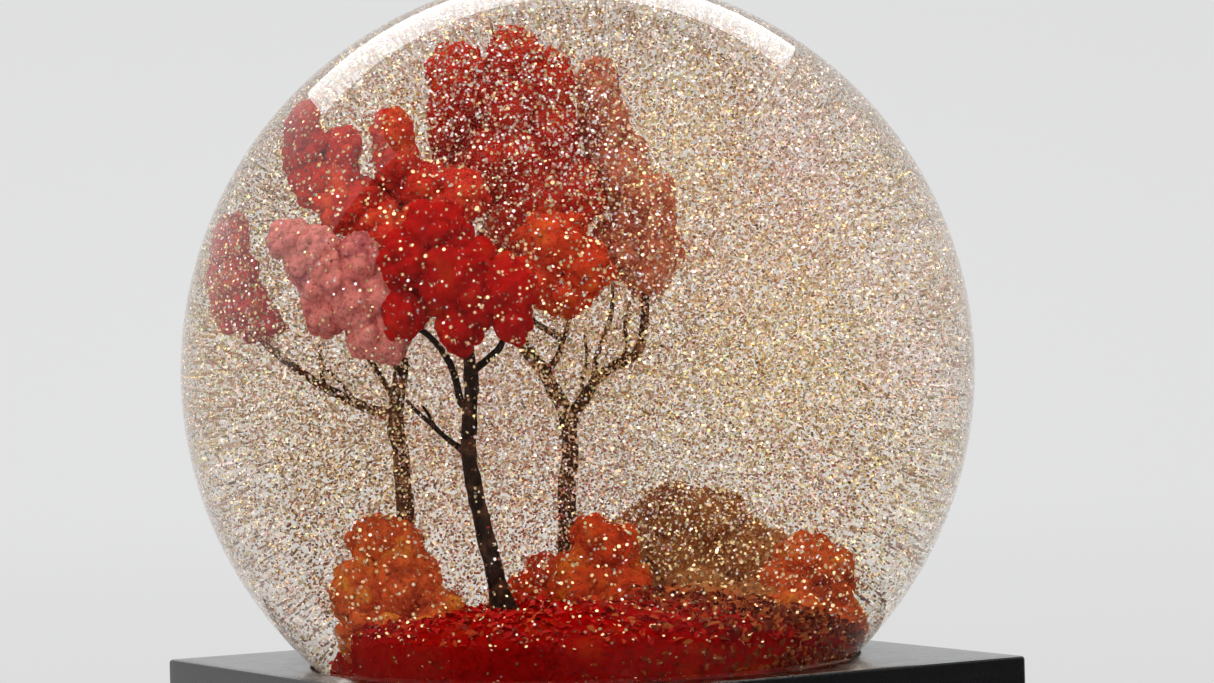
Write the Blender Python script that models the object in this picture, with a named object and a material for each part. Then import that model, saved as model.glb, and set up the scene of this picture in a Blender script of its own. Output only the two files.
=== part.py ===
"""Water globe with autumn trees: a glass ball on a square base.

The ball is filled with liquid, closed from below by a rubber stopper and bonded into
the base's bore. A figurine of three trees stands on the stopper inside the liquid.
Lengths are in millimetres and become metres where a mesh is made. The origin is the
middle of the base's underside, +Z is up, and the base's sides face along X and Y.
"""

import math
from collections import namedtuple

import bmesh
import bpy
from mathutils import Matrix, Vector

MM = 0.001  # metres in a millimetre
GAP = 0.3  # between pieces that touch or rest on each other

# Base
BASE_SIDE = 95.0
BASE_TOP = 32.0
BASE_EASE = 0.6  # softened edges
FELT_SIDE = 93.0
FELT_THICKNESS = 1.2
FELT_CORNER = 3.0
BORE_R = 41.7
LEDGE_Z = 16.0  # floor of the wide bore, which carries the stopper's flange
ACCESS_R = 14.0  # hole below the filler plug

# Glass ball, with its neck pointing down into the base
GLOBE_R = 60.0
GLASS_WALL = 2.3
GLOBE_Z = BASE_TOP + 43.6
NECK_R = 37.5
LIP_Z = 21.2
LIP_R = 1.7  # radius of the rolled lip's bead
TURN_STEPS = 36

# Stopper, its filler plug and the seals
STOPPER_R = NECK_R - GLASS_WALL - GAP - 0.2
STOPPER_TOP = 30.3
FLANGE_R = 38.5
FLANGE_TOP = LIP_Z - LIP_R - GAP
RIB_DEPTH = 0.8
FILLER_R = 4.0
RECESS_R = 20.0
RECESS_TOP = 22.0

# Liquid: a shell between the glass and the space that the figurine needs
LIQUID_FLOOR = -42.6  # from the ball's centre
POCKET = ((35.4, -42.6), (36.5, -38), (39, -30), (39, -13), (48, 0), (49, 10), (48.6, 20),
          (45, 28), (40, 35), (30, 40.5), (16, 43.5))

# Figurine, in its own frame: x to the right, y away from its front, z up from the ball's centre
FIGURE_TURN = math.radians(-30.7)
MOUND_R = 34.4
MOUND_EDGE_Z = -38.5
MOUND_CREST_Z = -27.4
MOUND_STEPS = 32
MOUND_RINGS = 7
TUBE_SIDES = 7
LOBE_GAP = 1.0  # between neighbouring clumps, whose surfaces are coarse
VOXEL = 2.3  # edge length of the foliage's skin
SKIN = 0.3  # added to each lobe, because its skin is drawn in a little

Branch = namedtuple("Branch", "points start_r end_r")

TREES = {
    "front_tree_trunk": (
        Branch(((-9.4, -16, -32), (-10.1, -16, -27), (-11, -17, -23), (-12, -17.5, -18), (-12.9, -18, -13.5),
                (-13.5, -19, -9), (-13.3, -19.5, -5.5), (-13, -20, -2.5), (-13.1, -21, 1), (-13.6, -23, 5.5),
                (-14.5, -25, 10.5)), 1.35, 0.8),
        Branch(((-13.3, -18.8, -9.8), (-14.6, -18, -8.6), (-16.2, -17, -7.3), (-17.9, -16.3, -5.6),
                (-19.6, -15.6, -4), (-20.6, -15, -2.8)), 0.45, 0.28),
        Branch(((-13.2, -19.6, -4.8), (-14.3, -19.8, -3), (-15, -20.3, 0), (-16, -21, 2.4), (-18.5, -22, 5.4),
                (-22.5, -22, 7.6), (-28, -21.8, 10)), 0.5, 0.4),
        Branch(((-13.1, -20.9, 0.4), (-10.8, -22, 2.2), (-9.2, -23, 4), (-8, -24.6, 8.5)), 0.5, 0.4),
    ),
    "left_tree_trunk": (
        Branch(((-19.2, 8, -34), (-19.2, 8, -26), (-19.3, 8, -18), (-19.5, 7.8, -12.5), (-19.8, 7.5, -8.5),
                (-20.3, 7, -5.5), (-20, 6.6, -2), (-19.6, 6, 0.5), (-19.9, 4, 5), (-20.2, 0, 10),
                (-20.6, -4.5, 15)), 1.3, 0.7),
        Branch(((-20.1, 7, -5.2), (-21.4, 7, -4.4), (-23.8, 7.2, -3.4), (-25.9, 7.5, -2.3), (-28.2, 7.8, -1.1),
                (-30.3, 8, 0.5), (-32.8, 8.2, 2.4), (-35, 8.4, 4.6), (-37.2, 8.4, 8)), 0.7, 0.4),
        Branch(((-28, 7.8, -1.2), (-28.3, 7, 1.2), (-28.7, 5.8, 3.4)), 0.35, 0.22),
        Branch(((-20, 6.4, -2.8), (-21, 5.5, -1.8), (-22.3, 4, 0.4), (-24, 2, 2.6), (-25.4, 0.8, 4.6)), 0.4, 0.25),
        Branch(((-20.2, 0, 9.6), (-24, -3.5, 15), (-27, -4.5, 20), (-30, -3, 25)), 0.6, 0.4),
        Branch(((-20.3, -2, 12.2), (-18, -5.5, 18), (-18.6, -6, 24)), 0.6, 0.4),
    ),
    "right_tree_trunk": (
        Branch(((-1.8, 12.5, -33), (-1.7, 12.3, -25), (-1.6, 12, -17), (-1.5, 12, -12.5), (-1.1, 12, -9),
                (-1.3, 12, -5.5), (-1.9, 11.8, -3.8), (-3, 11, -1.6), (-4, 10.5, 0.2), (-5.2, 10, 1.6),
                (-6.4, 9.2, 3.6), (-7.6, 8.4, 7.5), (-8.6, 8, 13), (-8.6, 8, 20)), 1.35, 0.55),
        Branch(((-3.6, 10.7, -0.4), (-2.2, 10.8, 1.4), (-1.5, 10.4, 3.4), (-0.7, 10, 5.6), (-0.2, 9.6, 7.4)),
               0.42, 0.25),
        Branch(((-1.5, 10.4, 3.2), (-3, 9.6, 4.2), (-4.4, 6, 5.2), (-5.2, 1.5, 6.4), (-5, -1.5, 8.5)), 0.4, 0.3),
        Branch(((-1.2, 12, -6), (-0.4, 12, -4.6), (0.8, 12, -3), (1.9, 12, -1.3), (3.5, 12, -0.1), (5.1, 12, 0.8),
                (6.6, 12, 1.8), (7.2, 12, 4), (7.5, 11.4, 7), (7.3, 11.2, 11), (6.2, 12.6, 16)), 0.75, 0.4),
        Branch(((1.7, 12, -1.6), (2, 12.6, 1), (2.8, 13.4, 3.2), (3.7, 14, 5.6)), 0.38, 0.24),
    ),
}

# Foliage: name, colour, trees that reach it, clumps that it gives way to, and its lobes,
# each a centre and three radii
Clump = namedtuple("Clump", "name colour trees neighbours lobes")
RED, DEEP_RED = (0.42, 0.022, 0.012), (0.26, 0.008, 0.008)
SALMON, ORANGE, OLIVE = (0.60, 0.11, 0.075), (0.52, 0.085, 0.02), (0.27, 0.12, 0.03)

CLUMPS = (
    Clump("front_crown", DEEP_RED, ("front_tree_trunk",), (), (
        (-20.7, -25.5, 14.6, 4.4, 5.5, 4.4), (-15, -26, 12.8, 6, 6.5, 5.6), (-8.8, -26, 10.8, 4.8, 6, 4.8),
        (-14.6, -26, 5.8, 3, 4.5, 3.6), (-8, -26, 7, 3, 4.5, 3.4), (-21.6, -25.5, 8.2, 3.2, 4.5, 3.8),
        (-16.8, -25.5, 19, 4.8, 5.5, 4.2))),
    Clump("front_crown_left", SALMON, ("front_tree_trunk",), ("front_crown",), (
        (-36.6, -19, 18, 3.8, 4.8, 3.4), (-32.2, -20.5, 14.4, 5, 5.8, 4.8), (-28.6, -21.5, 9.9, 4.6, 5.6, 4.6),
        (-26.2, -21.5, 5.6, 3.2, 4.6, 3.6), (-31.6, -21, 8.6, 3, 4.5, 3.6))),
    Clump("left_crown", RED, ("left_tree_trunk",), (), (
        (-32, -2, 28.8, 3.5, 5.2, 6.4), (-27.4, -4, 25, 3, 5.2, 4.8), (-21.2, -6, 26.4, 3.4, 5.4, 5.6),
        (-17, -6, 22.6, 5, 6, 3.6), (-26.8, -6.5, 20.8, 5, 6.2, 4.2), (-22.6, -7.5, 16.6, 4.8, 6.4, 5),
        (-16.6, -7.5, 18, 5.4, 6.5, 4.8), (-30, -4, 22.6, 3.6, 5.2, 3.8))),
    Clump("left_crown_outer", SALMON, ("left_tree_trunk",), (), (
        (-38.4, 8, 13.8, 3.4, 5, 4.8), (-37.2, 8, 8.8, 3.8, 5, 4), (-35.2, 8, 6.6, 2.8, 4.2, 2.8))),
    Clump("right_crown_tall", RED, ("right_tree_trunk",), (), (
        (-6.2, 8, 34, 3.4, 5.4, 4.6), (-12.4, 8, 32, 4, 5.6, 4.8), (-2.9, 9, 30.4, 3.8, 5.6, 5.4),
        (-7.8, 8, 27.4, 8.2, 7.2, 6), (-7.2, 8, 20.4, 8, 7.5, 6.4), (-5.5, 7.8, 15.6, 5.8, 6.6, 4.2))),
    Clump("right_crown_side", ORANGE, ("right_tree_trunk",), ("right_crown_tall",), (
        (3.2, 14, 27.4, 3, 5.2, 5), (5.2, 14, 21.4, 4.2, 6, 5.4), (7, 12.8, 14.8, 4.8, 6, 5.4),
        (5.6, 11.8, 12, 4.6, 5.6, 4))),
    Clump("right_crown_front", RED, ("right_tree_trunk",), (), (
        (-2.4, -4, 13.6, 5.4, 6, 4.8), (-5.4, -3.5, 9.6, 3.6, 5.2, 3.8), (1.2, -3.5, 11, 3.8, 5.2, 3.8))),
    Clump("left_shrub", SALMON, ("left_tree_trunk",), (), (
        (-22.5, 0.5, -20.6, 4.8, 5.5, 5), (-25, -1, -27.5, 5, 5.5, 6), (-19, -1.5, -27, 5, 5.5, 6))),
    Clump("middle_shrub", SALMON, ("right_tree_trunk",), (), (
        (-5.4, 9, -24.6, 3.2, 3.8, 4.8),)),
    Clump("right_shrub", ORANGE, (), (), (
        (2, -6, -21.6, 4.8, 5.5, 5), (0.4, -7, -28, 5, 5.5, 5.6), (4.4, -7.5, -28.5, 4.6, 5, 5.2))),
    Clump("back_shrub", OLIVE, (), (), (
        (11, 20.5, -22.2, 7.4, 7, 10), (5.2, 21, -23.6, 5.8, 6, 9), (17.2, 19, -25, 5.8, 6, 9))),
    Clump("outer_shrub", ORANGE, (), ("back_shrub",), (
        (24.8, 7.5, -26, 5.2, 6, 7), (28.4, 4.5, -30, 4.6, 5, 5.4), (21.4, 6, -28.5, 4, 5, 5))),
)


def finish(name, colour, roughness, transmission=0.0, ior=1.45):
    """A Principled material of one colour."""
    material = bpy.data.materials.new(name)
    material.use_nodes = True
    shader = material.node_tree.nodes["Principled BSDF"]
    shader.inputs["Base Color"].default_value = (*colour, 1)
    shader.inputs["Roughness"].default_value = roughness
    shader.inputs["Transmission Weight"].default_value = transmission
    shader.inputs["IOR"].default_value = ior
    material.diffuse_color = (*colour, 1)
    return material


def add(name, bm, material=None, parent=None, sharp=35):
    """Scales the mesh to metres, shades it smooth and makes it an object."""
    bmesh.ops.scale(bm, vec=(MM, MM, MM), verts=bm.verts)
    mesh = bpy.data.meshes.new(name)
    bm.to_mesh(mesh)
    bm.free()
    mesh.shade_smooth()
    mesh.set_sharp_from_angle(angle=math.radians(sharp))
    if material:
        mesh.materials.append(material)
    piece = bpy.data.objects.new(name, mesh)
    piece.parent = parent
    bpy.context.scene.collection.objects.link(piece)
    return piece


def make_cutter(piece, group=None):
    """Turns a piece into a cutter, which is drawn as wire and isn't part of the globe."""
    piece.hide_render = True
    piece.display_type = "WIRE"
    if group:
        bpy.context.scene.collection.objects.unlink(piece)
        group.objects.link(piece)
    return piece


def new_group(name):
    """An empty collection in the scene, for the cutters of one Boolean."""
    group = bpy.data.collections.new(name)
    bpy.context.scene.collection.children.link(group)
    return group


def boolean(piece, operation, other):
    """Adds an exact Boolean with one object or with a collection of them."""
    modifier = piece.modifiers.new(operation.title(), "BOOLEAN")
    modifier.operation = operation
    modifier.solver = "EXACT"
    if isinstance(other, bpy.types.Collection):
        modifier.operand_type = "COLLECTION"
        modifier.collection = other
    else:
        modifier.object = other


def ball_outline(radius, last):
    """Points (r, z) of a ball's outline, from its top to the polar angle `last`, in degrees.

    Nested balls share the angles above the last one, so their facets lie parallel.
    """
    angles = [math.radians(a) for a in (*range(0, 140, 10), 136, last)]
    return [(radius * math.sin(a), GLOBE_Z + radius * math.cos(a)) for a in angles]


def arc(radius, centre_r, centre_z, start, end, steps):
    """Points (r, z) on a circle, at angles in degrees measured from +Z towards +r."""
    angles = [math.radians(start + (end - start) * i / steps) for i in range(steps + 1)]
    return [(centre_r + radius * math.sin(a), centre_z + radius * math.cos(a)) for a in angles]


def turn(outline, ring=False):
    """Turns an outline of (r, z) points about Z. An outline that isn't a ring ends on the axis."""
    bm = bmesh.new()
    verts = [bm.verts.new((r, 0, z)) for r, z in outline]
    edges = [bm.edges.new(pair) for pair in zip(verts, verts[1:])]
    if ring:
        edges.append(bm.edges.new((verts[-1], verts[0])))
    bmesh.ops.spin(bm, geom=verts + edges, cent=(0, 0, 0), axis=(0, 0, 1), angle=math.tau, steps=TURN_STEPS)
    bmesh.ops.remove_doubles(bm, verts=bm.verts, dist=1e-4)
    bmesh.ops.recalc_face_normals(bm, faces=bm.faces)
    return bm


def polar_from_height(radius, height):
    """The angle from +Z, in degrees, at which a sphere passes a height above its centre."""
    return math.degrees(math.acos(height / radius))


def polar_from_width(radius, width):
    """The angle from +Z, in degrees, below the middle, at which a sphere has this width."""
    return 180 - math.degrees(math.asin(width / radius))


def slab(side, bottom, top):
    """A square block centred on Z."""
    bm = bmesh.new()
    bmesh.ops.create_cube(bm, size=1)
    bmesh.ops.scale(bm, vec=(side, side, top - bottom), verts=bm.verts)
    bmesh.ops.translate(bm, vec=(0, 0, (top + bottom) / 2), verts=bm.verts)
    return bm


def bevel(piece, width, segments, upright_only=False):
    """Rounds a block's edges, or only its four upright ones."""
    modifier = piece.modifiers.new("Bevel", "BEVEL")
    modifier.width = width * MM
    modifier.segments = segments
    if not upright_only:
        return
    modifier.limit_method = "WEIGHT"
    weights = piece.data.attributes.new("bevel_weight_edge", "FLOAT", "EDGE")
    for edge in piece.data.edges:
        low, high = (piece.data.vertices[i].co for i in edge.vertices)
        weights.data[edge.index].value = float(abs(low.z - high.z) > MM / 2)


def base_block():
    """Square block with a stepped bore: wide for the ball's neck, narrow below its plug."""
    lacquer = finish("black_lacquer", (0.018, 0.017, 0.018), 0.22)
    bottom = FELT_THICKNESS + GAP
    block = add("base_block", slab(BASE_SIDE, bottom, BASE_TOP), lacquer)
    bevel(block, BASE_EASE, 2)
    outline = [(0, BASE_TOP + 5), (BORE_R, BASE_TOP + 5), (BORE_R, LEDGE_Z), (ACCESS_R, LEDGE_Z),
               (ACCESS_R, bottom - 5), (0, bottom - 5)]
    boolean(block, "DIFFERENCE", make_cutter(add("base_bore_cutter", turn(outline))))


def felt_pad():
    """Felt sheet under the base, with round corners."""
    felt = finish("felt", (0.03, 0.03, 0.032), 0.95)
    pad = add("felt_pad", slab(FELT_SIDE, 0, FELT_THICKNESS), felt)
    bevel(pad, FELT_CORNER, 4, upright_only=True)


def glass_globe():
    """Blown ball with an open neck below and a rolled lip."""
    glass = finish("clear_glass", (1, 1, 1), 0.0, transmission=1, ior=1.5)
    inner_r, inner_neck_r = GLOBE_R - GLASS_WALL, NECK_R - GLASS_WALL
    bead_r = NECK_R + 0.1
    outer = ball_outline(GLOBE_R, polar_from_width(GLOBE_R, NECK_R))
    lip = arc(LIP_R, bead_r, LIP_Z, 40, 200, 6)
    inner = ball_outline(inner_r, polar_from_width(inner_r, inner_neck_r))
    outline = outer + [(NECK_R, LIP_Z + 3)] + lip + [(inner_neck_r, LIP_Z - 0.4)] + inner[::-1]
    add("glass_globe", turn(outline), glass)


def rubber_stopper():
    """Hollow-bottomed stopper with sealing ribs, a flange below the glass and a filler hole."""
    rubber = finish("stopper_rubber", (0.035, 0.034, 0.033), 0.8)
    flange_bottom = LEDGE_Z + GAP
    ribs = []
    for level in (22.4, 24.6, 26.8):
        ribs += [(STOPPER_R - RIB_DEPTH, level - 0.7), (STOPPER_R, level), (STOPPER_R - RIB_DEPTH, level + 0.7)]
    outline = [(FILLER_R, STOPPER_TOP), (FILLER_R, RECESS_TOP), (RECESS_R, RECESS_TOP), (RECESS_R, flange_bottom),
               (FLANGE_R, flange_bottom), (FLANGE_R, FLANGE_TOP), (STOPPER_R - RIB_DEPTH, FLANGE_TOP), *ribs,
               (STOPPER_R - RIB_DEPTH, STOPPER_TOP - 1.6), (STOPPER_R, STOPPER_TOP - 0.8),
               (STOPPER_R, STOPPER_TOP)]
    add("rubber_stopper", turn(outline, ring=True), rubber)


def filler_plug():
    """Plug that closes the stopper's filler hole from below."""
    plastic = finish("plug_plastic", (0.75, 0.73, 0.68), 0.4)
    shank_r, head_r, head_top = FILLER_R - GAP, 6.2, RECESS_TOP - GAP
    outline = [(0, STOPPER_TOP - 0.5), (shank_r - 0.8, STOPPER_TOP - 0.5), (shank_r, STOPPER_TOP - 1.5),
               (shank_r, head_top), (head_r, head_top), (head_r, head_top - 1.5),
               (head_r - 0.6, head_top - 2.1), (0, head_top - 2.1)]
    add("filler_plug", turn(outline), plastic)


def sealant_bead():
    """Ring of sealant where the lip of the glass meets the stopper's flange."""
    sealant = finish("sealant", (0.82, 0.82, 0.80), 0.45)
    inner = FLANGE_R + GAP
    outline = [(inner, 16.6), (inner + 1.5, 16.8), (inner + 2.3, 18.3), (inner + 2.1, 19.9),
               (inner + 1.2, 20.2), (inner + 0.2, 19.2)]
    add("sealant_bead", turn(outline, ring=True), sealant)


def globe_bond():
    """Ring of clear adhesive that holds the neck of the ball in the base's bore."""
    adhesive = finish("clear_adhesive", (0.85, 0.84, 0.80), 0.3)
    inner, outer = NECK_R + GAP, BORE_R - GAP
    outline = [(inner, 24.4), (outer, 24), (outer, 29.4), (inner + 1.3, 29.4), (inner, 28.2)]
    add("globe_bond", turn(outline, ring=True), adhesive)


def liquid():
    """The liquid that can swirl: a shell of revolution between the glass and the figurine."""
    water = finish("clear_liquid", (1, 0.98, 0.95), 0.0, transmission=1, ior=1.34)
    radius = GLOBE_R - GLASS_WALL - GAP
    outer = ball_outline(radius, polar_from_height(radius, LIQUID_FLOOR))
    pocket = [(r, GLOBE_Z + z) for r, z in POCKET]
    add("liquid", turn(outer + pocket + [(0, pocket[-1][1] + 1)]), water)


def mound_height(x, y):
    """The ground's height: a dome with its crest a little behind the front tree, and low waves."""
    dome = max(0.0, 1 - (x * x + y * y) / MOUND_R**2) ** 0.45
    waves = 0.5 * math.sin(0.33 * x + 0.8) * math.cos(0.29 * y) + 0.35 * math.sin(0.6 * y + 0.45 * x)
    return MOUND_EDGE_Z + (MOUND_CREST_Z - MOUND_EDGE_Z + waves) * dome


def mound_mesh(lift=0.0, widen=0.0):
    """The mound as a closed mesh: rings of points on its top, an upright rim and a flat bottom."""
    bm = bmesh.new()
    bottom = STOPPER_TOP + GAP - GLOBE_Z - lift
    rings = []
    for i in range(1, MOUND_RINGS + 1):
        r = MOUND_R * math.sin(i / MOUND_RINGS * math.pi / 2)
        angles = [math.tau * k / MOUND_STEPS for k in range(MOUND_STEPS)]
        places = [(r * math.cos(a), r * math.sin(a)) for a in angles]
        spread = 1 + widen / MOUND_R
        rings.append([bm.verts.new((x * spread, y * spread, mound_height(x, y) + lift)) for x, y in places])
    rings.append([bm.verts.new((v.co.x, v.co.y, bottom)) for v in rings[-1]])
    crest = bm.verts.new((0, 0, mound_height(0, 0) + lift))
    around = range(MOUND_STEPS)
    for k in around:
        bm.faces.new((crest, rings[0][k], rings[0][(k + 1) % MOUND_STEPS]))
    for inner, outer in zip(rings, rings[1:]):
        for k in around:
            n = (k + 1) % MOUND_STEPS
            bm.faces.new((inner[k], outer[k], outer[n], inner[n]))
    bm.faces.new(rings[-1][::-1])
    bmesh.ops.recalc_face_normals(bm, faces=bm.faces)
    return bm


def tube(branch, extra=0.0):
    """A closed tube along a branch. Each ring stands square to the path, which tapers it evenly."""
    bm = bmesh.new()
    points = [Vector(p) for p in branch.points]
    if extra:
        points[-1] += (points[-1] - points[-2]).normalized() * extra
    side = Vector((0, 1, 0))
    rings = []
    for i, point in enumerate(points):
        ahead = (points[min(i + 1, len(points) - 1)] - points[max(i - 1, 0)]).normalized()
        side = (side - ahead * side.dot(ahead)).normalized()
        other = ahead.cross(side)
        share = i / (len(points) - 1)
        radius = branch.start_r + (branch.end_r - branch.start_r) * share + extra
        turns = [math.tau * k / TUBE_SIDES for k in range(TUBE_SIDES)]
        ring = [point + radius * (math.cos(a) * side + math.sin(a) * other) for a in turns]
        rings.append([bm.verts.new(p) for p in ring])
    for first, second in zip(rings, rings[1:]):
        for k in range(TUBE_SIDES):
            n = (k + 1) % TUBE_SIDES
            bm.faces.new((first[k], first[n], second[n], second[k]))
    bm.faces.new(rings[0])
    bm.faces.new(rings[-1])
    bmesh.ops.recalc_face_normals(bm, faces=bm.faces)
    return bm


def tree(name, branches, figure):
    """One trunk with its limbs joined on, and the group of wider tubes that clears it from the rest."""
    bark = finish("bark_" + name, (0.045, 0.025, 0.016), 0.8)
    trunk = add(name, tube(branches[0]), bark, figure)
    limbs, room = new_group(name + "_limbs"), new_group(name + "_room")
    for i, branch in enumerate(branches):
        if i:
            make_cutter(add(f"{name}_limb_{i}", tube(branch), None, figure), limbs)
        make_cutter(add(f"{name}_room_{i}", tube(branch, GAP), None, figure), room)
    boolean(trunk, "UNION", limbs)
    return room


def ball(bm, lobe, extra=0.0):
    """Adds one ellipsoid to a mesh."""
    x, y, z, *radii = lobe
    place = Matrix.LocRotScale(Vector((x, y, z)), None, Vector([r + extra for r in radii]))
    bmesh.ops.create_icosphere(bm, subdivisions=3, radius=1, matrix=place)


def clump(entry, figure, rooms, lobe_rooms, ground):
    """A clump of flock foliage: its lobes in one skin, cut back from wood, ground and neighbours."""
    flock = finish("flock_" + entry.name, entry.colour, 0.9)
    bm = bmesh.new()
    for lobe in entry.lobes:
        ball(bm, lobe, SKIN)
    piece = add(entry.name, bm, flock, figure)
    skin = piece.modifiers.new("Skin", "REMESH")
    skin.mode = "VOXEL"
    skin.voxel_size = VOXEL * MM
    skin.use_smooth_shade = True
    for name in entry.trees:
        boolean(piece, "DIFFERENCE", rooms[name])
    for name in entry.neighbours:
        boolean(piece, "DIFFERENCE", lobe_rooms[name])
    if entry.name.endswith("shrub"):
        boolean(piece, "DIFFERENCE", ground)


def lobe_room(entry, figure):
    """The group of wider lobes that keeps a clump's neighbours off it."""
    group = new_group(entry.name + "_room")
    for i, lobe in enumerate(entry.lobes):
        bm = bmesh.new()
        ball(bm, lobe, SKIN + LOBE_GAP)
        make_cutter(add(f"{entry.name}_room_{i}", bm, None, figure), group)
    return group


def figurine():
    """Mound, trees and foliage, turned together against the base."""
    figure = bpy.data.objects.new("figurine", None)
    figure.location = (0, 0, GLOBE_Z * MM)
    figure.rotation_euler = (0, 0, FIGURE_TURN)
    bpy.context.scene.collection.objects.link(figure)
    rooms = {name: tree(name, branches, figure) for name, branches in TREES.items()}
    mound = add("ground_mound", mound_mesh(), finish("leaf_bed", (0.22, 0.008, 0.006), 0.9), figure)
    for room in rooms.values():
        boolean(mound, "DIFFERENCE", room)
    ground = make_cutter(add("ground_room", mound_mesh(lift=GAP, widen=GAP), None, figure))
    needed = {name for entry in CLUMPS for name in entry.neighbours}
    lobe_rooms = {entry.name: lobe_room(entry, figure) for entry in CLUMPS if entry.name in needed}
    for entry in CLUMPS:
        clump(entry, figure, rooms, lobe_rooms, ground)


def main():
    for old in list(bpy.data.objects):
        bpy.data.objects.remove(old, do_unlink=True)
    base_block()
    felt_pad()
    glass_globe()
    rubber_stopper()
    filler_plug()
    sealant_bead()
    globe_bond()
    liquid()
    figurine()


main()
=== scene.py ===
"""Looks of a water globe: clear glass and liquid, drifting glitter, autumn trees and a lacquered base.

Laid out as an add-on: each Operator makes one piece or a group of like pieces around the fixed frame.
Shapes are worked out in millimetres. The figurine's own frame has x to its right, y away from its
front and z up from the middle of the ball; it is turned by FIGURE_TURN against the base.
"""

import itertools
import math

import bpy
import numpy as np
from bpy.props import FloatProperty, FloatVectorProperty, IntProperty, PointerProperty
from mathutils import Euler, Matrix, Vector


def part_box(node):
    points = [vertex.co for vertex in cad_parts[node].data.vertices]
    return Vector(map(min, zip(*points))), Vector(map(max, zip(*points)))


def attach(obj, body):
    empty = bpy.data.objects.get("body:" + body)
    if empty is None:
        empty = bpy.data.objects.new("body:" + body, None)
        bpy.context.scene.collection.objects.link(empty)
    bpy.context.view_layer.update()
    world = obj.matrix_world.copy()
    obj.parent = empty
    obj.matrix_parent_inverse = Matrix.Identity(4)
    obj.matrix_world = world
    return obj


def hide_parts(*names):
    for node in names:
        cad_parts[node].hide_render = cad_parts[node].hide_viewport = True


bl_info = {
    "name": "Water Globe",
    "version": (1, 0, 0),
    "blender": (4, 5, 0),
    "location": "View3D > Sidebar > Globe",
    "description": "Makes the visible pieces of a glitter globe with autumn trees",
    "category": "Add Mesh",
}

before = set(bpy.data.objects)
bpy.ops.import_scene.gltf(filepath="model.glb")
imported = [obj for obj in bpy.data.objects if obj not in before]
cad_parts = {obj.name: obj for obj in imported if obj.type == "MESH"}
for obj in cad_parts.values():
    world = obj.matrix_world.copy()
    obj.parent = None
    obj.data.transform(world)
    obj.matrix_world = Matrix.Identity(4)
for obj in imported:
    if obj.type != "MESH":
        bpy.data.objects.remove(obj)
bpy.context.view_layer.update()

MM = 0.001
GLASS_LOW, GLASS_HIGH = (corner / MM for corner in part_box("glass_globe"))
BASE_LOW, BASE_HIGH = (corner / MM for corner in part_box("base_block"))
STOPPER_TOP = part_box("rubber_stopper")[1].z / MM

# The glass ball, with its neck down in the base
BALL_R = (GLASS_HIGH.x - GLASS_LOW.x) / 2
BALL_Z = GLASS_HIGH.z - BALL_R
NECK_R = 37.5
LIP_Z = 21.2
LIP_R = 1.7

# The base's bore, and the pocket in the liquid that the figurine stands in
BORE_R = 41.7
LEDGE_Z = 16.0
ACCESS_R = 14.0
POCKET = ((35.4, -42.6), (36.5, -38), (39, -30), (39, -13), (48, 0), (49, 10), (48.6, 20),
          (45, 28), (40, 35), (30, 40.5), (16, 43.5), (0, 44.5))

# The figurine: its mound, and the bay in the left of its leaf bed
FIGURE_TURN = math.radians(-30.7)
MOUND_R = 34.4
MOUND_EDGE_Z = -38.5
MOUND_CREST_Z = -27.4
BAY_DEPTH = 5.9
BAY_WIDTH = 0.6  # radians
KNOBS = 16  # smaller lumps on each lobe of foliage

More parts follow.
